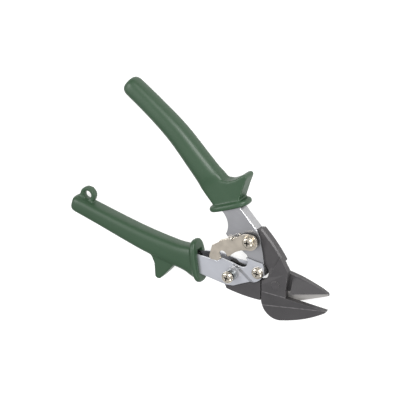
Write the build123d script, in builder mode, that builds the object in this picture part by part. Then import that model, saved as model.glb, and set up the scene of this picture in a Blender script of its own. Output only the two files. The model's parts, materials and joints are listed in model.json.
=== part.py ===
from build123d import *
from math import acos, atan2, cos, degrees, dist, radians, sin
import os

os.makedirs("parts", exist_ok=True)

# Compound-leverage aviation snips, lying on their side with the jaws open.
# X runs forward to the jaws, Y across the two handles, Z through the plates.
# Every outline is drawn in the plane of the tool, with the main pivot at (0, 0).
# The levels of Z are counted from the shear plane between the two blades.

# ---------------------------------------------------------------- driving dimensions (mm)
PIVOT = (78.76, -1.02, 10.5)      # the main pivot, seen from the part's own origin

# Linkage, at rest with the jaws open
LINK = (-38.5, 21.0)             # upper handle to blade shank; the lower one is its mirror image
HINGE = (-18.5, 0.0)             # handle to handle

# Levels and thicknesses
SHEAR_GAP = 0.05                 # half of the gap between the blades
BLADE = 5.3                      # thickness of each blade at the pivot
SHANK = 3.7                      # half thickness of a blade's shank
PLATE = 1.6                      # handle sheet
CHANNEL = 5.5                    # half width of a handle channel
LOBE = 7.3                       # outer face of the lower handle's joggled ears
LATCH_LOW = 8.4                  # underside of the latch plate
LATCH_TOP = LATCH_LOW + PLATE
LATCH_WIRE = 0.45                # radius of the latch spring's wire
LATCH_ANCHOR = (-50.3, 19.6)     # where its fixed leg enters the upper handle

# Fasteners
SCREW = 2.5                      # radius of an M5 screw
SCREW_HOLE = 2.55
HEAD = 5.3                       # radius of a pan head
HEAD_HIGH = 3.0
BUSH = 4.0                       # radius of the bushes in the shanks
HINGE_BUSH = 3.0
HINGE_HOLE = 3.45                # the open pivot: room for the linkage to work in
BOLT = 3.95                      # main pivot bolt
BOLT_HOLE = 4.0
RUN = 0.05                       # running clearance
NUT = 4.6                        # corner radius of an M5 nut
NUT_HIGH = 3.2
POST = 5.0                       # radius of the latch post
NECK = 3.0                       # its waist, where the latch hooks on
NECK_LOW = 8.0
POST_TOP = 10.4

# Grips
COLLAR = (-70.5, 33.7)           # centre of the upper grip's front face
SLOPE = 18.3                     # angle of the channel to the X axis, at rest
COLLAR_LONG = 40.0
COLLAR_WIDE = 21.0
COLLAR_THICK = 5.5
COLLAR_LEAN = 49.3               # angle of the upper collar's front face to the X axis
LOWER_LEAN = 53.0                # and of the lower one's
COLLAR_AHEAD = 2.0               # how far the collars stand in front of their centres
COLLAR_IN = 0.8                  # and how far towards each other
WEB = 8.9                        # channel's web to its centre line
TANG = 72.0                      # length of channel inside the grip
LOOP = (-190.6, -52.2)           # centre of the hanging loop
LOOP_HOLE = 4.0
LOOP_R = 7.6
LOOP_HALF = 3.0                  # half its thickness


# ---------------------------------------------------------------- helpers
def level(z):
    """Plane of the tool at height z above the shear plane."""
    return Plane(origin=(PIVOT[0], PIVOT[1], PIVOT[2] + z))


def spot(x, y, z=0.0):
    """A point of the tool in the part's frame."""
    return Vector(PIVOT[0] + x, PIVOT[1] + y, PIVOT[2] + z)


def flip(points):
    """The mirror image of some points, for the lower half of the tool."""
    return [(x, -y) for x, y in points]


def along(t, off):
    """A point t mm into the upper grip from its collar, off mm towards its outer side."""
    c, s = cos(radians(SLOPE)), sin(radians(SLOPE))
    return (COLLAR[0] - t * c + off * s, COLLAR[1] + t * s + off * c)


def polar(centre, radius, angle):
    return (centre[0] + radius * cos(radians(angle)), centre[1] + radius * sin(radians(angle)))


def save(piece, name):
    piece.label = name
    export_step(piece, f"parts/{name}.step")
    return piece


# ---------------------------------------------------------------- blades
ARM = degrees(atan2(LINK[1], -LINK[0]))      # angle of a shank to the X axis
ARM_END = [(-38.6, 31.0), (-38.9, 33.3), (-36.0, 35.6)]
ARM_IN = [(-13.0, 7.4), (-37.0, 13.2)]       # inner edge of a shank
NOTCH = (-17.3, 1.2)                         # hollow that clears the handle hinge
NOTCH_R = 7.4
ARM_CHAMFER = 1.3                            # along the outer edge of a shank
BOSS = 8.0                                   # rounded end of a shank, about its link pivot
ARM_FULL = 15.0                              # from here on a shank has its full thickness
HUB = 5.0                                    # and up to here the blade is flat


def arm_profile(side):
    """Side view of a blade along its shank, as (distance from the pivot, level)."""
    gap, blade, shank = side * SHEAR_GAP, side * BLADE, side * SHANK
    return [(-70, gap), (ARM_FULL, gap), (ARM_FULL + 0.4, -shank), (70, -shank),
            (70, shank), (ARM_FULL, shank), (HUB, blade), (-70, blade)]


def arm_plane(side):
    """Plane through the pivot along a shank: local X along it, local Y up."""
    c, s = cos(radians(ARM)), sin(radians(ARM))
    return Plane(origin=spot(0, 0), x_dir=(-c, side * s, 0), z_dir=(side * s, c, 0))


def facing(a, b, c):
    """Plane through three points, facing up."""
    normal = (b - a).cross(c - a)
    return Plane(origin=a, x_dir=b - a, z_dir=normal if normal.Z > 0 else normal * -1)


def outer_edge(side):
    """Picks the curved outer edge of a shank, on the blade's outer face."""
    def test(edge):
        ends = [(edge @ t) - spot(0, 0) for t in (0, 0.5, 1)]
        return all(side * p.Z > SHANK - 0.1 and side * p.Y > 14 and -37 < p.X < 5.5 for p in ends)
    return test


# Near blade, which carries the lower jaw. Two creases cross its face.
HUB_CREASE = [(-7.1, -13.7, BLADE), (12.0, -4.5, BLADE)]
JAW_CREASE = [(1.4, -23.9, 3.63), (38.7, 3.6, 4.74)]
JAW_RIM = (21.0, -25.6, 3.5)

with BuildSketch(level(SHEAR_GAP)) as near_outline:
    with BuildLine():
        end = Polyline(ARM_END)
        back = ThreePointArc(end @ 1, (-18.0, 29.5), (2.8, 18.4))
        front = Polyline(back @ 1, (5.2, 14.4), (9.7, 2.3), (13.6, -4.5), (48.6, 10.7), (48.9, 8.9))
        rim = ThreePointArc(front @ 1, (36.5, -9.6), (21.0, -25.6))
        heel = ThreePointArc(rim @ 1, (8.5, -30.4), (-4.4, -21.8))
        Polyline(heel @ 1, (-8.0, -13.2), (-13.0, -4.6), *ARM_IN, end @ 0)
    make_face()
    with Locations(LINK):
        Circle(BOSS)
    with Locations(NOTCH):
        Circle(NOTCH_R, mode=Mode.SUBTRACT)

with BuildPart() as rim_plate:
    extrude(near_outline.sketch, amount=BLADE - SHEAR_GAP)
    split(bisect_by=facing(*[spot(*p) for p in JAW_CREASE], spot(*JAW_RIM)), keep=Keep.BOTTOM)
    split(bisect_by=Plane(origin=spot(-9.0, 0), z_dir=(1, 0, 0)))

with BuildPart() as lower_blade:
    extrude(near_outline.sketch, amount=BLADE - SHEAR_GAP)
    extrude(near_outline.sketch, amount=-SHANK - SHEAR_GAP)
    with BuildSketch(arm_plane(1)):
        with BuildLine():
            Polyline(arm_profile(1), close=True)
        make_face()
    extrude(amount=80, both=True, mode=Mode.INTERSECT)
    chamfer(lower_blade.edges().filter_by(outer_edge(1)), ARM_CHAMFER)
    # Below a crease across the hub the jaw falls away, and flattens again towards its rim.
    split(bisect_by=facing(*[spot(*p) for p in HUB_CREASE + JAW_CREASE[:1]]), keep=Keep.BOTTOM)
    add(rim_plate.part)
    with BuildSketch(level(0)):
        Circle(BOLT_HOLE)
        with Locations(LINK):
            Circle(BUSH + RUN)
    extrude(amount=20, both=True, mode=Mode.SUBTRACT)
save(lower_blade.part, "lower_blade")

# Far blade, which carries the upper jaw
BLOCK_HEEL = (14.4, 0.9, 4.4)                # top of the step behind the ground strip
BLOCK_TIP = (41.0, 22.9, 1.0)
BLOCK_SPINE = (12.5, 17.7, -0.5)

with BuildSketch(level(-SHEAR_GAP)) as far_outline:
    with BuildLine():
        end = Polyline(flip(ARM_END))
        back = ThreePointArc(end @ 1, (-18.0, -29.5), (0.0, -20.5))
        front = Polyline(back @ 1, (4.0, -14.5), (15.0, -6.8))
        cut = ThreePointArc(front @ 1, (19.6, -4.4), (23.2, -1.0))
        tip = Polyline(cut @ 1, (42.8, 21.6), (41.3, 23.3), (34.9, 22.8))
        spine = ThreePointArc(tip @ 1, (12.5, 17.7), (-4.0, 12.8))
        Polyline(spine @ 1, (-10.0, 8.4), *flip(ARM_IN), end @ 0)
    make_face()
    with Locations(flip([LINK])):
        Circle(BOSS)
    with Locations(flip([NOTCH])):
        Circle(NOTCH_R, mode=Mode.SUBTRACT)

with BuildPart() as block:
    with BuildSketch(level(-1.0)):
        with BuildLine():
            wall = Polyline((6.9, 16.3), (12.7, 5.8), BLOCK_HEEL[:2], BLOCK_TIP[:2], (41.3, 23.3), (34.9, 22.8))
            ThreePointArc(wall @ 1, (20.6, 20.1), wall @ 0)
        make_face()
    extrude(amount=7.0)
    split(bisect_by=facing(spot(*BLOCK_HEEL), spot(*BLOCK_TIP), spot(*BLOCK_SPINE)), keep=Keep.BOTTOM)

with BuildPart() as upper_blade:
    extrude(far_outline.sketch, amount=-BLADE + SHEAR_GAP)
    extrude(far_outline.sketch, amount=SHANK + SHEAR_GAP)
    with BuildSketch(arm_plane(-1)):
        with BuildLine():
            Polyline(arm_profile(-1), close=True)
        make_face()
    extrude(amount=80, both=True, mode=Mode.INTERSECT)
    # The jaw thins towards its tip on the far side.
    split(bisect_by=facing(spot(14, 20, -BLADE), spot(20, -6, -BLADE), spot(42, 22, -2.4)), keep=Keep.TOP)
    add(block.part)
    with BuildSketch(level(0)):
        Circle(BOLT_HOLE)
        with Locations(flip([LINK])):
            Circle(BUSH + RUN)
    extrude(amount=20, both=True, mode=Mode.SUBTRACT)
save(upper_blade.part, "upper_blade")


# ---------------------------------------------------------------- handle channels
WEB_END = -30.0                              # front end of the web, along the handle
INNER = CHANNEL - PLATE                      # half of the space between the flanges
EAR_R = 5.6                                  # upper handle's ear about the hinge
BEND = 1.3                                   # outer radius of the sheet's bends
TANG_OUT = [along(TANG, 4.5), along(10, 7.0), along(4, WEB), along(WEB_END, WEB)]
TANG_IN = [along(2, -8.2), along(10, -7.0), along(TANG, -6.5)]
HOLLOW = [along(TANG + 1, 4.5 - PLATE), along(10, 7.0 - PLATE), along(4, WEB - PLATE),
          along(WEB_END, WEB - PLATE), along(WEB_END, WEB + 5), (0, 40), (0, -20),
          along(10, -40), along(TANG + 1, -40)]


def on_web(side):
    """Picks the edges along a handle's outer bends."""
    s, c = sin(radians(SLOPE)), cos(radians(SLOPE))

    def test(edge):
        for end in (edge @ 0, edge @ 1):
            x, y, z = end.X - PIVOT[0], side * (end.Y - PIVOT[1]), end.Z - PIVOT[2]
            off = (x - COLLAR[0]) * s + (y - COLLAR[1]) * c
            if abs(off - WEB) > 0.1 or abs(abs(z) - CHANNEL) > 0.1:
                return False
        return edge.length > 5
    return test


with BuildSketch(level(-CHANNEL)) as upper_flange:
    with BuildLine():
        web = Polyline(TANG_OUT)
        nose = Polyline(web @ 1, (-33.8, 28.8))
        shoulder = ThreePointArc(nose @ 1, (-31.6, 26.9), (-30.2, 24.6))
        front = ThreePointArc(shoulder @ 1, (-21.6, 14.4), (-15.4, 4.7))
        ear = ThreePointArc(front @ 1, (-13.4, -2.3), (-20.5, -5.2))
        under = Polyline(ear @ 1, (-26.0, -1.2), (-35.3, 6.5), (-57.3, 8.7), (-60.8, 10.4))
        throat = ThreePointArc(under @ 1, (-63.2, 18.9), (-72.3, 25.9))
        Polyline(throat @ 1, *TANG_IN, web @ 0)
    make_face()

with BuildPart() as upper_channel:
    extrude(upper_flange.sketch, amount=2 * CHANNEL)
    fillet(upper_channel.edges().filter_by(on_web(1)), BEND)
    with BuildSketch(level(-INNER)):
        Polygon(HOLLOW, align=None)
    extrude(amount=2 * INNER, mode=Mode.SUBTRACT)
    with BuildSketch(level(0)):
        with Locations(LINK):
            Circle(SCREW_HOLE)
        with Locations(HINGE):
            Circle(HINGE_HOLE)
    extrude(amount=20, both=True, mode=Mode.SUBTRACT)
    with BuildSketch(level(0)):
        with Locations(LATCH_ANCHOR):
            Circle(LATCH_WIRE + 0.1)
    extrude(amount=20, mode=Mode.SUBTRACT)
save(upper_channel.part, "upper_channel")

# The lower handle's ears step outwards, to straddle the upper handle at the hinge.
JOGGLE = 260.5                               # direction in which the step lies from the hinge
JOGGLE_NEAR = 9.6
JOGGLE_FAR = 13.8
EAR_IN = LOBE - PLATE
DIP_START = (-53.0, -12.8)

with BuildSketch(level(-CHANNEL)) as lower_flange:
    with BuildLine():
        web = Polyline(flip(TANG_OUT))
        front = Polyline(web @ 1, (-31.6, -27.7), (-26.2, -20.4), (-19.9, -12.4))
        ear = ThreePointArc(front @ 1, (-13.2, -1.2), (-18.9, 10.2))
        top = Polyline(ear @ 1, (-34.2, 4.8))
        neck = ThreePointArc(top @ 1, (-30.2, -0.2), (-34.4, -6.3))
        Polyline(neck @ 1, (-43.0, -9.6), DIP_START, (-61.0, -15.8), *flip(TANG_IN), web @ 0)
    make_face()

with BuildSketch(level(0)) as latch_dip:         # clears the latch, in the near flange only
    with BuildLine():
        dip = ThreePointArc(DIP_START, (-54.6, -16.6), (-58.2, -19.2))
        Polyline(dip @ 1, (-63.2, -21.4), flip(TANG_IN)[0], (-70.0, -10.0), dip @ 0)
    make_face()


def joggled(side):
    """Side view of one ear and its step, as (distance beyond the hinge, level)."""
    levels = [(-60, EAR_IN), (JOGGLE_NEAR, EAR_IN), (JOGGLE_FAR, INNER), (JOGGLE_FAR, CHANNEL),
              (JOGGLE_NEAR, LOBE), (-60, LOBE)]
    return [(u, side * z) for u, z in levels]


joggle_x = (cos(radians(JOGGLE)), sin(radians(JOGGLE)), 0)
joggle_plane = Plane(origin=spot(*HINGE), x_dir=joggle_x, z_dir=(-joggle_x[1], joggle_x[0], 0))

with BuildPart() as ears:
    extrude(lower_flange.sketch, amount=CHANNEL + LOBE)
    extrude(lower_flange.sketch, amount=CHANNEL - LOBE)
    with BuildSketch(joggle_plane):
        for side in (1, -1):
            with BuildLine():
                Polyline(joggled(side), close=True)
            make_face()
    extrude(amount=200, both=True, mode=Mode.INTERSECT)

with BuildPart() as lower_channel:
    extrude(lower_flange.sketch, amount=2 * CHANNEL)
    fillet(lower_channel.edges().filter_by(on_web(-1)), BEND)
    with BuildSketch(level(-INNER)):
        Polygon(flip(HOLLOW), align=None)
    extrude(amount=2 * INNER, mode=Mode.SUBTRACT)
    split(bisect_by=Plane(origin=joggle_plane.from_local_coords((JOGGLE_FAR, 0, 0)), z_dir=joggle_x))
    extrude(latch_dip.sketch, amount=LOBE, mode=Mode.SUBTRACT)
    add(ears.part)
    with BuildSketch(level(0)):
        with Locations(*flip([LINK]), HINGE):
            Circle(SCREW_HOLE)
    extrude(amount=20, both=True, mode=Mode.SUBTRACT)
save(lower_channel.part, "lower_channel")


# ---------------------------------------------------------------- grips
# Stations of the grips: distance from the collar, shift outwards, width. The tail is a half circle.
UPPER_GRIP = [(-9, 0, 25.0), (18, 0, 24.6), (45, 0.2, 23.0), (77, 0.2, 20.6), (106, -3.4, 19.0), (130.9, -8.4, 18.0)]
LOWER_GRIP = [(-9, 0, 24.0), (20, 0.8, 22.8), (52, 0, 20.4), (76, -2.2, 18.4), (100, -5.0, 16.8), (126.4, -7.8, 15.6)]
TAIL_TURN = 7.5                              # how far the tails bend in towards each other
GRIP_HALF = 8.5                              # half thickness of a grip
GRIP_ROUND = 6.4
UPPER_GUARD = [(-88.0, 50.5), (-81.4, 54.6), (-77.2, 60.6), (-74.0, 68.0), (-71.6, 69.9),
               (-69.2, 68.6), (-67.8, 59.0), (-65.2, 46.0)]
LOWER_GUARD = [(-112.0, -56.0), (-104.3, -61.4), (-100.4, -67.4), (-97.4, -72.4), (-94.8, -73.4),
               (-92.0, -71.6), (-89.6, -62.0), (-87.0, -50.0)]
GUARD_HALF = 7.0
MOUTH = 9.0                                  # depth of the open space inside a grip's collar


def grip(side, stations, guard, channel, lean):
    """A moulded grip with its collar and finger guard, fitting its channel."""
    c, s = cos(radians(SLOPE)), sin(radians(SLOPE))
    lean = radians(lean)
    face = Plane(origin=spot(COLLAR[0], side * COLLAR[1]), x_dir=(cos(lean), side * sin(lean), 0),
                 z_dir=(sin(lean), -side * cos(lean), 0))
    outer = [along(t, off + width / 2) for t, off, width in stations[:-1]]
    inner = [along(t, off - width / 2) for t, off, width in stations[:-1]]
    t, off, width = stations[-1]
    x, y = along(t, off)
    middle = Vector(x, side * y)
    axis = Vector(-c, side * s)
    tail = axis.rotate(Axis.Z, side * TAIL_TURN)
    across = tail.rotate(Axis.Z, -side * 90) * (width / 2)
    if side < 0:
        outer, inner = flip(outer), flip(inner)
    with BuildPart() as moulding:
        with BuildSketch(level(-GRIP_HALF)):
            with BuildLine():
                far = Spline(outer + [middle + across], tangents=[axis, tail])
                end = ThreePointArc(far @ 1, middle + tail * (width / 2), middle - across)
                near = Spline([end @ 1] + inner[::-1], tangents=[-tail, -axis])
                Line(near @ 1, far @ 0)
            make_face()
        extrude(amount=2 * GRIP_HALF)
        fillet([edge for edge in moulding.edges() if edge.geom_type != GeomType.LINE], GRIP_ROUND)
        split(bisect_by=face, keep=Keep.BOTTOM)
    with BuildPart() as collar:
        with BuildSketch(face.offset(COLLAR_AHEAD)):
            with Locations((-COLLAR_IN, 0)):
                RectangleRounded(COLLAR_LONG, COLLAR_WIDE, 0.46 * COLLAR_WIDE)
        extrude(amount=-COLLAR_THICK)
        fillet(collar.edges(), 2.3)
    with BuildPart() as fin:
        with BuildSketch(level(-GUARD_HALF)):
            Polygon(guard, align=None)
        extrude(amount=2 * GUARD_HALF)
        fillet(fin.edges(), 1.6)
    with BuildPart() as whole:
        add(moulding.part)
        add(collar.part)
        add(fin.part)
        add(channel, mode=Mode.SUBTRACT)
        with BuildSketch(level(-INNER)):
            Polygon([(x, side * y) for x, y in (along(MOUTH, -12), along(MOUTH, WEB - PLATE),
                                                along(-30, WEB - PLATE), along(-30, -12))], align=None)
        extrude(amount=2 * INNER, mode=Mode.SUBTRACT)
    return whole


upper_grip = grip(1, UPPER_GRIP, UPPER_GUARD, upper_channel.part, COLLAR_LEAN)
save(upper_grip.part, "upper_grip")

lower_moulding = grip(-1, LOWER_GRIP, LOWER_GUARD, lower_channel.part, LOWER_LEAN)
with BuildPart() as lower_grip:
    add(lower_moulding.part)
    with BuildSketch(level(-LOOP_HALF)):
        with Locations(LOOP):
            Circle(LOOP_R)
        Polygon((LOOP[0] - LOOP_R, LOOP[1]), (LOOP[0] + LOOP_R, LOOP[1]),
                (LOOP[0] + LOOP_R, LOOP[1] - 12), (LOOP[0] - LOOP_R + 3, LOOP[1] - 14), align=None)
    extrude(amount=2 * LOOP_HALF)
    with BuildSketch(level(0)):
        with Locations(LOOP):
            Circle(LOOP_HOLE)
    extrude(amount=20, both=True, mode=Mode.SUBTRACT)
save(lower_grip.part, "lower_grip")


# ---------------------------------------------------------------- fasteners
def ring(name, at, low, high, outer, inner):
    """A plain washer, spacer or bush between two levels."""
    with BuildPart() as piece:
        with BuildSketch(level(low)):
            with Locations(at):
                Circle(outer)
                Circle(inner, mode=Mode.SUBTRACT)
        extrude(amount=high - low)
    return save(piece.part, name)


def pan_screw(name, at, low, top, turn):
    """A cross-recessed pan head screw whose head sits at the level top."""
    with BuildPart() as piece:
        with BuildSketch(level(low)):
            with Locations(at):
                Circle(SCREW)
        extrude(amount=top - low)
        with BuildSketch(level(top)):
            with Locations(at):
                Circle(HEAD)
        extrude(amount=HEAD_HIGH)
        fillet(piece.edges().sort_by(Axis.Z)[-1], 0.8 * HEAD_HIGH)
        with BuildSketch(level(top + HEAD_HIGH)):
            with Locations(at):
                Rectangle(5.2, 1.2, rotation=turn)
                Rectangle(1.2, 5.2, rotation=turn)
        extrude(amount=-2.0, taper=12, mode=Mode.SUBTRACT)
    return save(piece.part, name)


def lock_nut(name, at, top, radius=NUT, high=NUT_HIGH, bore=SCREW_HOLE):
    """A hexagon nut with a round locking collar, hanging below the level top."""
    with BuildPart() as piece:
        with BuildSketch(level(top)):
            with Locations(at):
                RegularPolygon(radius, 6)
        extrude(amount=-0.7 * high)
        with BuildSketch(level(top)):
            with Locations(at):
                Circle(0.8 * radius)
        extrude(amount=-high)
        with BuildSketch(level(top)):
            with Locations(at):
                Circle(bore)
        extrude(amount=-high, mode=Mode.SUBTRACT)
    return save(piece.part, name)


LOWER_LINK = (LINK[0], -LINK[1])
WASHER = 0.9

# Main pivot
with BuildPart() as pivot_bolt:
    with BuildSketch(level(-BLADE - WASHER - 4.0)):
        Circle(BOLT)
    extrude(amount=2 * BLADE + WASHER + 4.0)
    with BuildSketch(level(BLADE)):
        RegularPolygon(3.9, 6, rotation=10)
    extrude(amount=0.7)
save(pivot_bolt.part, "pivot_bolt")
ring("pivot_washer", (0, 0), -BLADE - WASHER, -BLADE, 8.0, BOLT + RUN)
lock_nut("pivot_lock_nut", (0, 0), -BLADE - WASHER, 7.2, 4.0, BOLT + RUN)

# Upper handle to blade, which also carries the latch
ring("upper_shank_bush", LINK, -INNER, INNER, BUSH, SCREW_HOLE)
ring("latch_spacer", LINK, CHANNEL, LATCH_LOW - RUN, 3.6, SCREW_HOLE)
ring("latch_wave_washer", LINK, LATCH_TOP + RUN, LATCH_TOP + 0.6, 6.3, SCREW_HOLE)
pan_screw("latch_screw", LINK, -CHANNEL - NUT_HIGH, LATCH_TOP + 0.6, 32)
lock_nut("latch_lock_nut", LINK, -CHANNEL)

# Lower handle to blade, with the post that the latch holds
ring("lower_shank_bush", LOWER_LINK, -INNER, INNER, BUSH, SCREW_HOLE)
with BuildPart() as latch_post:
    with BuildSketch(level(CHANNEL)):
        with Locations(LOWER_LINK):
            Circle(POST)
    extrude(amount=NECK_LOW - CHANNEL)
    with BuildSketch(level(NECK_LOW)):
        with Locations(LOWER_LINK):
            Circle(NECK)
    extrude(amount=POST_TOP - NECK_LOW)
    with BuildSketch(level(CHANNEL)):
        with Locations(LOWER_LINK):
            Circle(SCREW_HOLE)
    extrude(amount=20, mode=Mode.SUBTRACT)
save(latch_post.part, "latch_post")
pan_screw("shank_screw", LOWER_LINK, -CHANNEL - NUT_HIGH, POST_TOP, 20)
lock_nut("shank_lock_nut", LOWER_LINK, -CHANNEL)

# Handle to handle
ring("hinge_bush", HINGE, -EAR_IN, EAR_IN, HINGE_BUSH, SCREW_HOLE)
pan_screw("hinge_screw", HINGE, -LOBE - NUT_HIGH, LOBE, 25)
lock_nut("hinge_lock_nut", HINGE, -LOBE)


# ---------------------------------------------------------------- latch
LATCH_MOUTH = (30.35, -118.0)                # the hook's mouth, about the latch's pivot
MOUTH_HALF = 3.6
LIP = 6.2                                    # bent thumb lip: level of its lower edge
THUMB_EDGE = [(-65.2, -4.9), (-60.8, 3.2), (-54.6, 10.4), (-49.4, 17.7)]

with BuildPart() as latch_plate:
    with BuildSketch(level(LATCH_LOW)):
        with BuildLine():
            top = Polyline(THUMB_EDGE)
            crown = ThreePointArc(top @ 1, (-43.7, 25.6), (-37.0, 28.7))
            knob = ThreePointArc(crown @ 1, (-30.8, 22.8), (-33.6, 14.8))
            belly = ThreePointArc(knob @ 1, (-42.0, 7.6), (-46.4, -1.4))
            Polyline(belly @ 1, (-48.4, -4.6), (-52.4, -10.0), (-53.8, -14.0), (-59.8, -17.2), (-62.2, -16.6), top @ 0)
        make_face()
        mouth = polar(LINK, *LATCH_MOUTH)
        exit_way = polar(mouth, 12.0, LATCH_MOUTH[1] + 90)
        make_hull(Wire.make_circle(MOUTH_HALF, Plane(origin=(*mouth, 0))).edges()
                  + Wire.make_circle(MOUTH_HALF, Plane(origin=(*exit_way, 0))).edges(), mode=Mode.SUBTRACT)
        with Locations(LINK):
            Circle(SCREW + 0.1, mode=Mode.SUBTRACT)
    extrude(amount=PLATE)
    with BuildSketch(level(LIP)):
        with BuildLine():
            lip = Polyline(THUMB_EDGE[1:3])
            offset(amount=PLATE / 2)
        make_face()
    extrude(amount=LATCH_TOP - LIP)
save(latch_plate.part, "latch_plate")


# ---------------------------------------------------------------- springs
def leaving(at, point, coil, way):
    """Where on a coil a straight leg to the point leaves it, as an angle."""
    reach = degrees(acos(coil / dist(at, point)))
    return degrees(atan2(point[1] - at[1], point[0] - at[0])) + way * reach


def torsion_spring(name, at, low, wire, coil, loops, first, second):
    """A coil about a screw, rising from its first leg to its second one."""
    pitch = 2.24 * wire
    start = leaving(at, first[0][:2], coil, 1)
    stop = leaving(at, second[0][:2], coil, -1)
    rise = pitch * (loops + (stop - start) % 360 / 360)
    helix = Helix(pitch, rise, coil).rotate(Axis.Z, start).moved(Location(spot(*at, low)))
    with BuildPart() as piece:
        with BuildSketch(Plane(origin=helix @ 0, z_dir=helix % 0)):
            Circle(wire)
        sweep(path=helix)
        for end, points in ((helix @ 0, first), (helix @ 1, second)):
            with BuildLine() as leg:
                Polyline(end, *[spot(*p) for p in points])
            with BuildSketch(Plane(origin=leg.line @ 0, z_dir=leg.line % 0)):
                Circle(wire)
            sweep(path=leg.line, transition=Transition.ROUND)
    return save(piece.part, name)


# Opening spring, coiled round the hinge, with one leg in each handle
OPENING_LEG = [(-46.5, 12.8, 2.7), (-53.4, 34.2, 2.7)]
torsion_spring("opening_spring", HINGE, -2.7, 0.8, 4.4, 2, [(x, -y, -z) for x, y, z in OPENING_LEG], OPENING_LEG)

# Latch spring, coiled round the latch's spacer: one leg in the channel, one hooked over the thumb edge
torsion_spring("latch_spring", LINK, 6.0, LATCH_WIRE, 4.15, 1,
               [(*LATCH_ANCHOR, 6.0), (*LATCH_ANCHOR, 4.0)],
               [(-53.8, 12.9, 7.6), (-53.8, 12.9, LATCH_TOP + 0.55), (-51.8, 11.6, LATCH_TOP + 0.55)])
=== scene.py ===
import json
import math

import bmesh
import bpy
import numpy as np
from mathutils import Matrix, Vector


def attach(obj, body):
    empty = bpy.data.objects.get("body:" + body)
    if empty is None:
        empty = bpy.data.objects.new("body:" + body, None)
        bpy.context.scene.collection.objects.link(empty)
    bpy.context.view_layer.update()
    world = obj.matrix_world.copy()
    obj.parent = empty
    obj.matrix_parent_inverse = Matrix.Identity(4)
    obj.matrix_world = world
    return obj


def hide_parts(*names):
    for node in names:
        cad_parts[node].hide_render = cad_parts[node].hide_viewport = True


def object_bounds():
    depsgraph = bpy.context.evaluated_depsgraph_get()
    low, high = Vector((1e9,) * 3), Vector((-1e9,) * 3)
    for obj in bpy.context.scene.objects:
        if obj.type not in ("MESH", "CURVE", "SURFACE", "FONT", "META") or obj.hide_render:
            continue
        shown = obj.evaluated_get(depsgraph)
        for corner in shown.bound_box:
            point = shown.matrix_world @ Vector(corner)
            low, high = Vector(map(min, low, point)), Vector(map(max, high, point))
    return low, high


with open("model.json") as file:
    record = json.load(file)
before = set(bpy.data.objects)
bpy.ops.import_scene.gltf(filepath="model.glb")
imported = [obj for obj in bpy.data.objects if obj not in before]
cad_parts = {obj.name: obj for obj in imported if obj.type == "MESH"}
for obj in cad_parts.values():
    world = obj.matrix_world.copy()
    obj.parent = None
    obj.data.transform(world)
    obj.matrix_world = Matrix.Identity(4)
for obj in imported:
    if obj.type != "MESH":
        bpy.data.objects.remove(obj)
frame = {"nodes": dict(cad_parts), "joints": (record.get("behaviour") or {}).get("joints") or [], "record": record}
cad_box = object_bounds()
nodes = frame["nodes"]
joints = {joint["name"]: joint for joint in frame["joints"]}
PIVOT = Vector(joints["blade_pivot"]["pos_m"])     # main pivot, in the shear plane
MM = 0.001


def at(x, y, z=0.0):
    """A point given in mm from the main pivot, in the shared frame."""
    return PIVOT + Vector((x, y, z)) * MM


def into_frame(mesh):
    """Moves a bmesh drawn in mm from the main pivot into the shared frame."""
    for vert in mesh.verts:
        vert.co = at(*vert.co)


# ---------------------------------------------------------------- camera
CAMERA_PLACE = (232.93, 803.85, 1168.57)     # mm from the main pivot
CAMERA_FORWARD = (-0.22825, -0.54356, -0.80774)
CAMERA_UP = (-0.60298, 0.73030, -0.32106)
LENS = 150.3                                 # mm, on a sensor SENSOR mm wide
SENSOR = 36.0


def add_camera():
    data = bpy.data.cameras.new("camera")
    data.lens = LENS
    data.sensor_width = SENSOR
    data.clip_end = 10.0
    camera = bpy.data.objects.new("camera", data)
    bpy.context.scene.collection.objects.link(camera)
    forward = Vector(CAMERA_FORWARD).normalized()
    right = forward.cross(Vector(CAMERA_UP)).normalized()
    up = right.cross(forward)
    turn = Matrix((right, up, -forward)).transposed()
    camera.matrix_world = Matrix.Translation(at(*CAMERA_PLACE)) @ turn.to_4x4()
    bpy.context.scene.camera = camera


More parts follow.
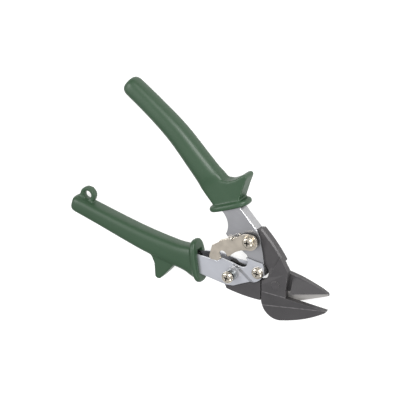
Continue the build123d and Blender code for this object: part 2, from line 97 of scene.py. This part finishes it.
# ---------------------------------------------------------------- material helpers
class Shader:
    """A node material built a step at a time."""

    def __init__(self, name):
        self.material = bpy.data.materials.new(name)
        self.material.use_nodes = True
        self.tree = self.material.node_tree
        self.bsdf = self.tree.nodes["Principled BSDF"]
        self.coords = self.add("ShaderNodeTexCoord").outputs["Object"]

    def add(self, kind, **values):
        node = self.tree.nodes.new(kind)
        for key, value in values.items():
            setattr(node, key, value)
        return node

    def feed(self, socket, value):
        if isinstance(value, bpy.types.NodeSocket):
            self.tree.links.new(value, socket)
        else:
            socket.default_value = value

    def noise(self, scale, detail=3.0, rough=0.5, stretch=(1, 1, 1)):
        mapping = self.add("ShaderNodeMapping")
        mapping.inputs["Scale"].default_value = stretch
        self.feed(mapping.inputs["Vector"], self.coords)
        node = self.add("ShaderNodeTexNoise")
        self.feed(node.inputs["Vector"], mapping.outputs["Vector"])
        node.inputs["Scale"].default_value = scale
        node.inputs["Detail"].default_value = detail
        node.inputs["Roughness"].default_value = rough
        return node.outputs["Fac"]

    def math(self, operation, a, b=0.0, c=0.0):
        node = self.add("ShaderNodeMath", operation=operation)
        for socket, value in zip(node.inputs, (a, b, c)):
            self.feed(socket, value)
        return node.outputs["Value"]

    def ramp(self, value, low, high, start=0.0, stop=1.0):
        """low up to start, high from stop on, and straight between them."""
        node = self.add("ShaderNodeMapRange")
        for name, given in (("Value", value), ("From Min", start), ("From Max", stop),
                            ("To Min", low), ("To Max", high)):
            self.feed(node.inputs[name], given)
        return node.outputs["Result"]

    def mix(self, factor, a, b):
        node = self.add("ShaderNodeMix", data_type="RGBA")
        self.feed(node.inputs["Factor"], factor)
        self.feed(node.inputs["A"], a if isinstance(a, bpy.types.NodeSocket) else (*a, 1))
        self.feed(node.inputs["B"], b if isinstance(b, bpy.types.NodeSocket) else (*b, 1))
        return node.outputs["Result"]

    def edges(self, radius_mm):
        """1 along convex edges, 0 on flat faces."""
        bevel = self.add("ShaderNodeBevel", samples=6)
        bevel.inputs["Radius"].default_value = radius_mm * MM
        normal = self.add("ShaderNodeNewGeometry").outputs["Normal"]
        dot = self.add("ShaderNodeVectorMath", operation="DOT_PRODUCT")
        self.feed(dot.inputs[0], bevel.outputs["Normal"])
        self.feed(dot.inputs[1], normal)
        return self.ramp(dot.outputs["Value"], 1.0, 0.0, 0.80, 0.995)

    def open_air(self, reach_mm, low, high):
        """0 deep inside a gap, 1 in the open: the mask for painted shade."""
        node = self.add("ShaderNodeAmbientOcclusion", samples=12)
        node.inputs["Distance"].default_value = reach_mm * MM
        return self.ramp(node.outputs["AO"], 0.0, 1.0, low, high)

    def soft_edges(self, radius_mm):
        """A normal that rounds off the sharp edges."""
        bevel = self.add("ShaderNodeBevel", samples=6)
        bevel.inputs["Radius"].default_value = radius_mm * MM
        return bevel.outputs["Normal"]

    def bump(self, height, depth_mm, normal=None):
        node = self.add("ShaderNodeBump")
        node.inputs["Strength"].default_value = 1.0
        node.inputs["Distance"].default_value = depth_mm * MM
        self.feed(node.inputs["Height"], height)
        if normal is not None:
            self.feed(node.inputs["Normal"], normal)
        self.feed(self.bsdf.inputs["Normal"], node.outputs["Normal"])

    def set(self, **values):
        names = {"color": "Base Color", "metal": "Metallic", "rough": "Roughness",
                 "spec": "Specular IOR Level", "glow": "Emission Color"}
        for key, value in values.items():
            self.feed(self.bsdf.inputs[names[key]], value)
        return self.material

    def place(self, axis):
        """A point's X, Y or Z in the shared frame."""
        split = self.add("ShaderNodeSeparateXYZ")
        self.feed(split.inputs["Vector"], self.coords)
        return split.outputs[axis]

    def facing(self, axis):
        """X, Y or Z of the way a surface faces."""
        split = self.add("ShaderNodeSeparateXYZ")
        self.feed(split.inputs["Vector"], self.add("ShaderNodeNewGeometry").outputs["Normal"])
        return split.outputs[axis]


# ---------------------------------------------------------------- materials
BLOCK_HEEL = at(14.4, 0.9)         # the ground strip lies outside this line on the upper jaw
BLOCK_TIP = at(41.0, 22.9)
GROUND_FROM = 10.0                 # and this far forward of the pivot
CREASES = ((at(-7.1, -13.7), at(12.0, -4.5)), (at(1.4, -23.9), at(38.7, 3.6)))      # of the lower jaw
FLAT = 0.9                         # a face flatter than this counts as level


def across_line(s, start, end):
    """Distance of a point to the right of the line from start to end, seen from above."""
    way = (end - start).normalized()
    x = s.math("MULTIPLY", s.math("SUBTRACT", s.place("X"), start.x), way.y)
    y = s.math("MULTIPLY", s.math("SUBTRACT", s.place("Y"), start.y), -way.x)
    return s.math("ADD", x, y)


def blade_steel(name, creases):
    """Blackened forging with ground cutting faces, rubbed edges that also carry a painted highlight, painted
    highlight lines on the creases and painted shade in gaps.
    """
    s = Shader(name)
    cloud = s.noise(90, 5, 0.6)
    grain = s.noise(2600, 3, 0.6)
    dark = s.mix(cloud, (0.033, 0.031, 0.032), (0.055, 0.052, 0.053))
    dark = s.mix(s.ramp(grain, 0.0, 0.3, 0.4, 0.75), dark, (0.095, 0.09, 0.092))
    # Lighter along convex edges: rubbed wear and a painted highlight.
    wear_and_highlight = s.math("MULTIPLY", s.edges(0.45), s.ramp(s.noise(420, 4), 0.15, 0.8, 0.35, 0.65))
    # Painted highlight lines along the creases, on level faces only, broken up by noise.
    for start, end in creases:
        line = s.ramp(s.math("ABSOLUTE", across_line(s, start, end)), 1.0, 0.0, 0.15 * MM, 0.55 * MM)
        line = s.math("MULTIPLY", line, s.math("GREATER_THAN", s.facing("Z"), FLAT))
        line = s.math("MULTIPLY", line, s.ramp(s.noise(260, 3), 0.15, 0.7, 0.35, 0.65))
        wear_and_highlight = s.math("MAXIMUM", wear_and_highlight, line)
    color = s.mix(wear_and_highlight, dark, (0.22, 0.21, 0.21))
    # Painted shade: near black deep in gaps and recesses.
    color = s.mix(s.open_air(5, 0.1, 0.75), (0.008, 0.008, 0.008), color)
    # The cutting faces in the shear plane are ground bright, outside the raised block.
    height = s.math("ABSOLUTE", s.math("SUBTRACT", s.place("Z"), PIVOT.z))
    ground = s.math("LESS_THAN", height, 0.2 * MM)
    level = s.math("GREATER_THAN", s.math("ABSOLUTE", s.facing("Z")), FLAT)
    ground = s.math("MULTIPLY", ground, level)
    ground = s.math("MULTIPLY", ground, s.math("GREATER_THAN", s.place("X"), PIVOT.x + GROUND_FROM * MM))
    beside = s.math("GREATER_THAN", across_line(s, BLOCK_HEEL, BLOCK_TIP), -1.5 * MM)
    ground = s.math("MULTIPLY", ground, beside)
    lines = s.noise(700, 2, 0.5, (0.12, 3.0, 1.0))
    bright = s.mix(lines, (0.36, 0.345, 0.33), (0.52, 0.50, 0.475))
    cast = s.math("ADD", s.noise(1500, 4, 0.65), s.math("MULTIPLY", s.noise(160, 3), 2.0))
    s.bump(cast, 0.03, s.soft_edges(0.35))
    return s.set(color=s.mix(ground, color, bright), metal=s.ramp(ground, 0.3, 0.9),
                 rough=s.ramp(cloud, 0.40, 0.54))


def bolt_steel():
    """Blackened steel, lighter round its rim from a little wear and a painted highlight."""
    s = Shader("bolt_steel")
    cloud = s.noise(300, 4)
    color = s.mix(cloud, (0.045, 0.042, 0.043), (0.068, 0.064, 0.066))
    # Lighter round the rim: rubbed wear and a painted highlight.
    color = s.mix(s.math("MULTIPLY", s.edges(0.35), 0.6), color, (0.22, 0.21, 0.21))
    s.bump(s.noise(1800, 4), 0.02, s.soft_edges(0.25))
    return s.set(color=color, metal=0.4, rough=s.ramp(cloud, 0.38, 0.52))


def handle_steel(name, low, high):
    """Satin nickel on rolled sheet, with fine lines along it, a painted highlight at its edges and painted shade
    inside.
    """
    s = Shader(name)
    cloud = s.noise(45, 4, 0.5)
    lines = s.noise(900, 2, 0.5, (0.08, 1.0, 1.0))
    color = s.mix(cloud, low, high)
    # Painted highlight along the edges.
    color = s.mix(s.math("MULTIPLY", s.edges(0.35), 0.8), color, (0.85, 0.85, 0.86))
    # Painted shade: near black inside the channel and other gaps.
    color = s.mix(s.open_air(9, 0.18, 0.6), (0.006, 0.005, 0.005), color)
    s.bump(s.math("ADD", lines, s.math("MULTIPLY", cloud, 1.5)), 0.008, s.soft_edges(0.3))
    return s.set(color=color, metal=0.9, rough=s.ramp(s.math("ADD", lines, cloud), 0.26, 0.40, 0.6, 1.4))


def nickel_plate(name, tint, rough):
    """Bright warm nickel, a little clouded, with a painted highlight at its edges and painted shade in gaps."""
    s = Shader(name)
    cloud = s.noise(160, 4, 0.55)
    deep = tuple(0.8 * c for c in tint)
    color = s.mix(cloud, deep, tint)
    # Painted highlight along the edges.
    color = s.mix(s.math("MULTIPLY", s.edges(0.3), 0.6), color, (0.86, 0.82, 0.74))
    # Painted shade: dark brown in gaps.
    color = s.mix(s.open_air(2.5, 0.2, 0.7), (0.03, 0.02, 0.012), color)
    s.bump(s.noise(700, 3), 0.012, s.soft_edges(0.22))
    return s.set(color=color, metal=0.95, rough=s.ramp(cloud, *rough, 0.35, 0.65))


def plain_metal(name, low, high, rough, metal=0.9):
    """A small metal piece, clouded between two shades."""
    s = Shader(name)
    cloud = s.noise(250, 4)
    s.bump(s.noise(1400, 3), 0.01, s.soft_edges(0.2))
    return s.set(color=s.mix(cloud, low, high), metal=metal, rough=s.ramp(cloud, *rough))


def grip_plastic():
    """Matt moulded vinyl: fine spark-eroded grain, faint flow marks, a soft sheen."""
    s = Shader("grip_plastic")
    cloud = s.noise(28, 4, 0.55)
    color = s.mix(cloud, (0.014, 0.040, 0.016), (0.020, 0.052, 0.023))
    grain = s.noise(3200, 2, 0.6)
    color = s.mix(s.ramp(grain, 0.0, 0.2, 0.4, 0.7), color, (0.034, 0.066, 0.038))
    s.bump(s.math("ADD", grain, s.math("MULTIPLY", s.noise(380, 3), 1.5)), 0.02)
    return s.set(color=color, metal=0.0, rough=s.ramp(cloud, 0.42, 0.50), spec=0.5)


# ---------------------------------------------------------------- grips
COLLAR = (-70.5, 33.7)             # where the upper grip begins, mm from the pivot; the lower one mirrors it
SLOPE = math.radians(18.3)         # slope of the handles at rest
COLLAR_LEAN = {1: math.radians(49.3), -1: math.radians(53.0)}     # upper and lower
COLLAR_LONG, COLLAR_WIDE, COLLAR_THICK = 40.0, 21.0, 5.5
COLLAR_AHEAD, COLLAR_IN = 2.0, 0.8  # a collar's face lies this far forward and inward of that point
COLLAR_EDGE = 2.3                  # rounding of its rim
COLLAR_SQUARE = 2.9                # squareness of its outline
BODY_RINGS, TAIL_RINGS, COLLAR_RINGS = 70, 14, 11
TAIL_BLUNT = 3.2                   # how square the tail's end is

# Sections of a grip: distance from the collar, shift outwards, width, thickness, squareness
UPPER_SECTIONS = [(-9, 0.0, 25.4, 15.2, 4.6), (12, 0.0, 25.2, 15.0, 4.6), (24, 0.0, 24.8, 15.2, 4.2),
                  (27, 0.0, 24.6, 16.0, 3.6), (31, 0.0, 24.3, 18.2, 2.5), (45, 0.2, 23.0, 18.6, 2.3),
                  (77, 0.2, 20.6, 18.2, 2.3), (106, -3.4, 19.0, 17.4, 2.3), (139.4, -9.5, 18.0, 16.8, 2.5)]
LOWER_SECTIONS = [(-11, 0.0, 33.0, 17.6, 3.4), (2, 0.0, 30.5, 17.2, 3.4), (8, 0.0, 26.6, 16.8, 3.4),
                  (15, 0.4, 23.8, 16.6, 3.4), (24, 0.8, 22.5, 16.6, 3.4), (52, 0.0, 20.4, 16.8, 3.4),
                  (76, -2.2, 18.4, 16.8, 3.4), (100, -5.0, 16.8, 16.6, 3.4), (134.2, -8.8, 15.6, 16.2, 3.4)]
UPPER_GUARD = [(-88.0, 50.5), (-81.4, 54.6), (-77.2, 60.6), (-74.0, 68.0), (-71.6, 69.9),
               (-69.2, 68.6), (-67.8, 59.0), (-65.2, 46.0), (-74.0, 36.0), (-92.0, 42.0)]
LOWER_GUARD = [(-112.0, -56.0), (-104.3, -61.4), (-100.4, -67.4), (-97.4, -72.4), (-94.8, -73.4),
               (-92.0, -71.6), (-89.6, -62.0), (-87.0, -50.0)]


def along(side, t, off):
    """The point t mm along a grip from its collar and off mm outwards."""
    c, s = math.cos(SLOPE), math.sin(SLOPE)
    return Vector((COLLAR[0] - t * c + off * s, side * (COLLAR[1] + t * s + off * c), 0))


def smooth_curve(keys, t):
    """Value at t of a smooth curve through (t, value...) keys."""
    places = [key[0] for key in keys]
    i = int(np.clip(np.searchsorted(places, t) - 1, 0, len(keys) - 2))
    before, a, b, after = (np.array(keys[int(np.clip(j, 0, len(keys) - 1))]) for j in range(i - 1, i + 3))
    span = b[0] - a[0]
    u = (t - a[0]) / span
    slope_a = (b - before) / (b[0] - before[0]) * span
    slope_b = (after - a) / (after[0] - a[0]) * span
    return (((2 * u - 3) * u * u + 1) * a + ((u - 2) * u + 1) * u * slope_a
            + (3 - 2 * u) * u * u * b + (u - 1) * u * u * slope_b)[1:]


def loft(mesh, rings):
    """Adds a closed tube through rings of points to a bmesh."""
    rows = [[mesh.verts.new(point) for point in ring] for ring in rings]
    count = len(rows[0])
    for row, following in zip(rows, rows[1:]):
        for i in range(count):
            j = (i + 1) % count
            mesh.faces.new((row[i], row[j], following[j], following[i]))
    mesh.faces.new(rows[0][::-1])
    mesh.faces.new(rows[-1])


def oval(centre, across, up, half_wide, half_high, power, count=64):
    """A ring of points on a squared-off ellipse."""
    ring = []
    for i in range(count):
        angle = 2 * math.pi * i / count
        c, s = math.cos(angle), math.sin(angle)
        x = math.copysign(abs(c) ** (2 / power), c) * half_wide
        y = math.copysign(abs(s) ** (2 / power), s) * half_high
        ring.append(centre + across * x + up * y)
    return ring


def body_rings(side, sections):
    """Rings of a grip's body from its collar to its blunt tail."""
    up = Vector((0, 0, 1))
    start, stop = sections[0][0], sections[-1][0]
    tail = sections[-1][2] / 2
    places = list(np.linspace(start, stop - tail, BODY_RINGS))
    # The tail's rings crowd towards its tip, and stop just short of a point.
    places += [stop - tail * (1 - math.sin(angle))
               for angle in np.linspace(0.08, math.pi / 2 * 0.985, TAIL_RINGS)]
    rings = []
    for t in places:
        off, wide, high, power = smooth_curve(sections, t)
        ahead = along(side, t + 1, smooth_curve(sections, min(t + 1, stop))[0])
        behind = along(side, t - 1, smooth_curve(sections, max(t - 1, start))[0])
        forward = (ahead - behind).normalized()
        across = up.cross(forward)
        depth = max(0.0, (t - stop + tail) / tail)
        shrink = (1 - depth ** TAIL_BLUNT) ** (1 / TAIL_BLUNT)
        rings.append(oval(along(side, t, off), across, up, wide / 2 * shrink, high / 2 * shrink, power))
    return rings


def collar_axes(side):
    """Directions along a collar's front face and straight out of it."""
    c, s = math.cos(COLLAR_LEAN[side]), math.sin(COLLAR_LEAN[side])
    return Vector((c, side * s, 0)), Vector((s, -side * c, 0))


def collar_rings(side):
    """Rings of the rounded flange at the front of a grip."""
    lean, out = collar_axes(side)
    up = Vector((0, 0, 1))
    centre = Vector((COLLAR[0], side * COLLAR[1], 0)) + out * COLLAR_AHEAD - lean * COLLAR_IN
    rings = []
    for angle in np.linspace(-math.pi / 2, math.pi / 2, COLLAR_RINGS):
        flat = COLLAR_THICK / 2 - COLLAR_EDGE if abs(angle) > 1e-6 else 0
        forward = math.copysign(flat, angle) - COLLAR_THICK / 2 + COLLAR_EDGE * math.sin(angle)
        inset = COLLAR_EDGE * (1 - math.cos(angle))
        rings.append(oval(centre + out * forward, lean, up, COLLAR_LONG / 2 - inset,
                          COLLAR_WIDE / 2 - inset, COLLAR_SQUARE))
    return rings


def slab(mesh, outline, half):
    """Adds a flat plate with the given outline to a bmesh."""
    low = [mesh.verts.new((x, y, -half)) for x, y in outline]
    high = [mesh.verts.new((x, y, half)) for x, y in outline]
    count = len(outline)
    for i in range(count):
        j = (i + 1) % count
        mesh.faces.new((low[i], low[j], high[j], high[i]))
    mesh.faces.new(low[::-1])
    mesh.faces.new(high)


def ring_plate(mesh, centre, outer, inner, half, count=48):
    """Adds a flat ring with a round hole to a bmesh."""
    rows = []
    for radius, z in ((outer, -half), (outer, half), (inner, half), (inner, -half)):
        rows.append([mesh.verts.new((centre[0] + radius * math.cos(2 * math.pi * i / count),
                                     centre[1] + radius * math.sin(2 * math.pi * i / count), z))
                     for i in range(count)])
    for row, following in zip(rows, rows[1:] + rows[:1]):
        for i in range(count):
            j = (i + 1) % count
            mesh.faces.new((row[i], row[j], following[j], following[i]))


def new_object(name, mesh):
    bmesh.ops.recalc_face_normals(mesh, faces=mesh.faces)
    data = bpy.data.meshes.new(name)
    mesh.to_mesh(data)
    mesh.free()
    piece = bpy.data.objects.new(name, data)
    bpy.context.scene.collection.objects.link(piece)
    return piece


def apply(piece):
    """Turns a piece's modifiers into plain mesh."""
    depsgraph = bpy.context.evaluated_depsgraph_get()
    data = bpy.data.meshes.new_from_object(piece.evaluated_get(depsgraph))
    piece.modifiers.clear()
    piece.data = data


LOOP = (-190.6, -52.2)             # centre of the hanging loop
LOOP_HOLE, LOOP_R, LOOP_HALF = 3.9, 7.6, 3.0
LOOP_FOOT = [(-7.4, -3), (-4.5, -6), (4.5, -6), (7.4, -3), (10.5, -13), (-7.4, -14)]     # from its centre
MOUTH_DEEP, MOUTH_HALF = 9, 3.9    # open space inside a collar: depth, half thickness
MOUTH_IN, MOUTH_OUT = -12, 7.3     # and its sides
MOUTH_FRONT = -30
VOXEL = 0.75                       # mm, the grain of a melted skin
MELT_STEPS = 10
SHARP = math.radians(50)           # edges sharper than this stay crisp


def smooth_shaded(piece, material):
    for polygon in piece.data.polygons:
        polygon.use_smooth = True
    piece.data.set_sharp_from_angle(angle=SHARP)
    piece.data.materials.clear()
    piece.data.materials.append(material)


def mouth_cutter(side):
    """The open space between a channel's flanges, inside the collar."""
    corners = ((MOUTH_DEEP, MOUTH_IN), (MOUTH_DEEP, MOUTH_OUT),
               (MOUTH_FRONT, MOUTH_OUT), (MOUTH_FRONT, MOUTH_IN))
    mesh = bmesh.new()
    slab(mesh, [along(side, t, off).to_2d() for t, off in corners], MOUTH_HALF)
    into_frame(mesh)
    return new_object("cutter", mesh)


def grip(name, side, sections, guard, guard_half, loop, material):
    """One moulded grip: body, collar, guard and hanging loop, melted into one skin."""
    mesh = bmesh.new()
    loft(mesh, body_rings(side, sections))
    loft(mesh, collar_rings(side))
    slab(mesh, guard, guard_half)
    if loop:
        ring_plate(mesh, LOOP, LOOP_R, LOOP_HOLE, LOOP_HALF)
        slab(mesh, [(LOOP[0] + x, LOOP[1] + y) for x, y in LOOP_FOOT], LOOP_HALF)
    # Nothing stands in front of the collar's face.
    normal = collar_axes(side)[1]
    face = Vector((COLLAR[0], side * COLLAR[1], 0)) + normal * (COLLAR_AHEAD + 0.02)
    bmesh.ops.recalc_face_normals(mesh, faces=mesh.faces)
    bmesh.ops.bisect_plane(mesh, geom=mesh.verts[:] + mesh.edges[:] + mesh.faces[:],
                           plane_co=face, plane_no=normal, clear_outer=True)
    bmesh.ops.holes_fill(mesh, edges=[edge for edge in mesh.edges if edge.is_boundary], sides=0)
    into_frame(mesh)
    piece = new_object(name, mesh)
    remesh = piece.modifiers.new("skin", "REMESH")
    remesh.mode = "VOXEL"
    remesh.voxel_size = VOXEL * MM
    apply(piece)
    smooth = piece.modifiers.new("melt", "SMOOTH")
    smooth.factor = 0.5
    smooth.iterations = MELT_STEPS
    apply(piece)
    mouth = mouth_cutter(side)
    cut = piece.modifiers.new("mouth", "BOOLEAN")
    cut.operation = "DIFFERENCE"
    cut.solver = "EXACT"
    cut.object = mouth
    apply(piece)
    bpy.data.objects.remove(mouth)
    smooth_shaded(piece, material)
    return piece


# ---------------------------------------------------------------- springs
LINK = (-38.5, 21.0)               # the latch's pivot
HINGE = (-18.5, 0.0)               # handle to handle
OPENING_LEG = [(-46.5, 12.8, 2.7), (-53.4, 34.2, 2.7)]
LATCH_WIRE = 0.45                  # radius of the latch spring's wire
LATCH_ANCHOR = (-50.3, 19.6)       # where its fixed leg enters the upper handle
LATCH_HOOK = [(-53.8, 12.9, 7.6), (-53.8, 12.9, 10.55), (-51.8, 11.6, 10.55)]
COIL_PITCH = 2.24                  # in radii of the wire
COIL_STEPS = 40                    # points in one turn
WIRE_SIDES = 14


def leaving(at_axis, point, coil, way):
    """Where on a coil a straight leg to the point leaves it, as an angle."""
    reach = math.acos(coil / math.dist(at_axis, point[:2]))
    return math.atan2(point[1] - at_axis[1], point[0] - at_axis[0]) + way * reach


def rounded(points, turn=0.8, steps=5):
    """A route with its corners rounded off."""
    route = [points[0]]
    for before, corner, after in zip(points, points[1:], points[2:]):
        start = corner + (before - corner).normalized() * turn
        stop = corner + (after - corner).normalized() * turn
        for i in range(steps + 1):
            u = i / steps
            route.append(start.lerp(corner, u).lerp(corner.lerp(stop, u), u))
    return route + [points[-1]]


def wire(name, route, radius, body, node, material):
    """A round wire along a route, riding on a body."""
    rings = []
    for i, point in enumerate(route):
        way = (route[min(i + 1, len(route) - 1)] - route[max(i - 1, 0)]).normalized()
        across = way.orthogonal() if i == 0 else across - way * across.dot(way)
        across.normalize()
        rings.append(oval(point, across, way.cross(across), radius, radius, 2.0, WIRE_SIDES))
    mesh = bmesh.new()
    loft(mesh, rings)
    into_frame(mesh)
    piece = new_object(name, mesh)
    smooth_shaded(piece, material)
    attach(piece, body)
    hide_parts(node)


def spring(name, at_axis, low, radius, coil, loops, first, second, bodies, material):
    """A torsion spring in two lengths, so that each leg follows the body it presses on."""
    pitch = COIL_PITCH * radius
    start = leaving(at_axis, first[0], coil, 1)
    stop = leaving(at_axis, second[0], coil, -1)
    turns = loops + (stop - start) / (2 * math.pi) % 1

    def on_coil(angle, turned):
        return Vector((at_axis[0] + coil * math.cos(angle), at_axis[1] + coil * math.sin(angle),
                       low + pitch * turned))

    steps = range(int(turns * COIL_STEPS) + 1)
    loop = [on_coil(start + 2 * math.pi * i / COIL_STEPS, i / COIL_STEPS) for i in steps]
    end = on_coil(stop, turns)
    first_leg = rounded([Vector(p) for p in reversed(first)] + loop[:1])
    wire(f"{name}_coil", first_leg + loop[1:] + [end], radius, bodies[0], name, material)
    wire(f"{name}_leg", rounded([end] + [Vector(p) for p in second]), radius, bodies[1], name, material)


# ---------------------------------------------------------------- making
add_camera()
grips = grip_plastic()
finishes = {
    "blade_steel": blade_steel("blade_steel", ()),
    "bolt_steel": bolt_steel(),
    "handle_steel": handle_steel("handle_steel", (0.53, 0.54, 0.57), (0.60, 0.61, 0.64)),
    "nickel_plate": nickel_plate("nickel_plate", (0.66, 0.60, 0.50), (0.13, 0.26)),
    "zinc_nut": plain_metal("zinc_nut", (0.42, 0.43, 0.44), (0.55, 0.56, 0.57), (0.3, 0.45)),
    "bush_bronze": plain_metal("bush_bronze", (0.40, 0.27, 0.13), (0.52, 0.36, 0.19), (0.3, 0.42)),
    "spring_steel": plain_metal("spring_steel", (0.03, 0.03, 0.03), (0.05, 0.05, 0.05), (0.3, 0.42), 0.5),
    "grip_plastic": grips,
}
own = {
    "lower_blade": blade_steel("lower_blade_steel", CREASES),
    # The upper channel gets a darker copy of the handle steel: painted shade.
    "upper_channel": handle_steel("upper_handle_steel_painted_shade", (0.33, 0.33, 0.338), (0.39, 0.39, 0.398)),
    "latch_plate": nickel_plate("latch_nickel", (0.60, 0.54, 0.45), (0.26, 0.40)),
    "latch_spring": nickel_plate("latch_wire", (0.70, 0.66, 0.58), (0.15, 0.25)),
    "latch_post": plain_metal("post_steel", (0.16, 0.17, 0.165), (0.24, 0.25, 0.24), (0.22, 0.34)),
}
for subpart in frame["record"]["subparts"]:
    node = nodes[subpart["node"]]
    node.data.materials.clear()
    node.data.materials.append(own.get(subpart["node"], finishes[subpart["material_slot"]]))

for name, side, sections, guard, guard_half, loop in (
        ("upper_grip_skin", 1, UPPER_SECTIONS, UPPER_GUARD, 7.3, False),
        ("lower_grip_skin", -1, LOWER_SECTIONS, LOWER_GUARD, 6.6, True)):
    piece = grip(name, side, sections, guard, guard_half, loop, grips)
    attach(piece, "upper_handle" if side > 0 else "lower_handle")
    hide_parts(name.replace("_skin", ""))


spring("opening_spring", HINGE, -2.7, 0.8, 4.4, 2, [(x, -y, -z) for x, y, z in OPENING_LEG], OPENING_LEG,
       ("lower_handle", "upper_handle"), finishes["spring_steel"])
spring("latch_spring", LINK, 6.0, LATCH_WIRE, 4.15, 1, [(*LATCH_ANCHOR, 6.0), (*LATCH_ANCHOR, 4.0)],
       LATCH_HOOK, ("upper_handle", "latch"), own["latch_spring"])


# ---------------------------------------------------------------- stage
FLOOR_HALF = 3.0                   # metres
FLOOR_GAP = 0.2 * MM
FLOOR_GLOW = 1.9                   # a softly lit table, so that shadows stay faint


def add_floor():
    mesh = bmesh.new()
    bmesh.ops.create_grid(mesh, x_segments=1, y_segments=1, size=FLOOR_HALF)
    floor = new_object("floor", mesh)
    floor.location.z = cad_box[0].z - FLOOR_GAP
    s = Shader("floor")
    pale = s.mix(s.noise(3, 2), (0.40, 0.40, 0.397), (0.42, 0.42, 0.417))
    s.bsdf.inputs["Emission Strength"].default_value = FLOOR_GLOW
    floor.data.materials.append(s.set(color=pale, rough=0.9, spec=0.1, glow=pale))


def add_light(name, place, size, power):
    """A soft rectangular light aimed at the object's middle; size in metres, power in watts."""
    data = bpy.data.lights.new(name, "AREA")
    data.shape = "RECTANGLE"
    data.size, data.size_y = size
    data.energy = power
    light = bpy.data.objects.new(name, data)
    bpy.context.scene.collection.objects.link(light)
    light.location = place
    light.rotation_mode = "QUATERNION"
    light.rotation_quaternion = (-Vector(place)).to_track_quat("-Z", "Y")


def add_world():
    """A soft studio: pale overhead, darker towards the horizon."""
    world = bpy.data.worlds.new("world")
    world.use_nodes = True
    tree = world.node_tree
    background = tree.nodes["Background"]
    coords = tree.nodes.new("ShaderNodeTexCoord")
    split = tree.nodes.new("ShaderNodeSeparateXYZ")
    ramp = tree.nodes.new("ShaderNodeValToRGB")
    ramp.color_ramp.elements[0].position = 0.0
    ramp.color_ramp.elements[0].color = (0.22, 0.22, 0.23, 1)
    ramp.color_ramp.elements[1].position = 0.75
    ramp.color_ramp.elements[1].color = (0.95, 0.96, 1.0, 1)
    tree.links.new(coords.outputs["Generated"], split.inputs[0])
    tree.links.new(split.outputs["Z"], ramp.inputs["Fac"])
    tree.links.new(ramp.outputs["Color"], background.inputs["Color"])
    background.inputs["Strength"].default_value = 0.75
    bpy.context.scene.world = world


add_floor()
add_world()
add_light("key", (0.25, 0.85, 0.75), (0.45, 0.3), 14.0)
add_light("fill", (0.9, -0.3, 0.8), (0.4, 0.4), 4.0)
add_light("back", (-0.8, -0.2, 0.9), (0.5, 0.3), 7.0)
bpy.context.scene.view_settings.view_transform = "Standard"
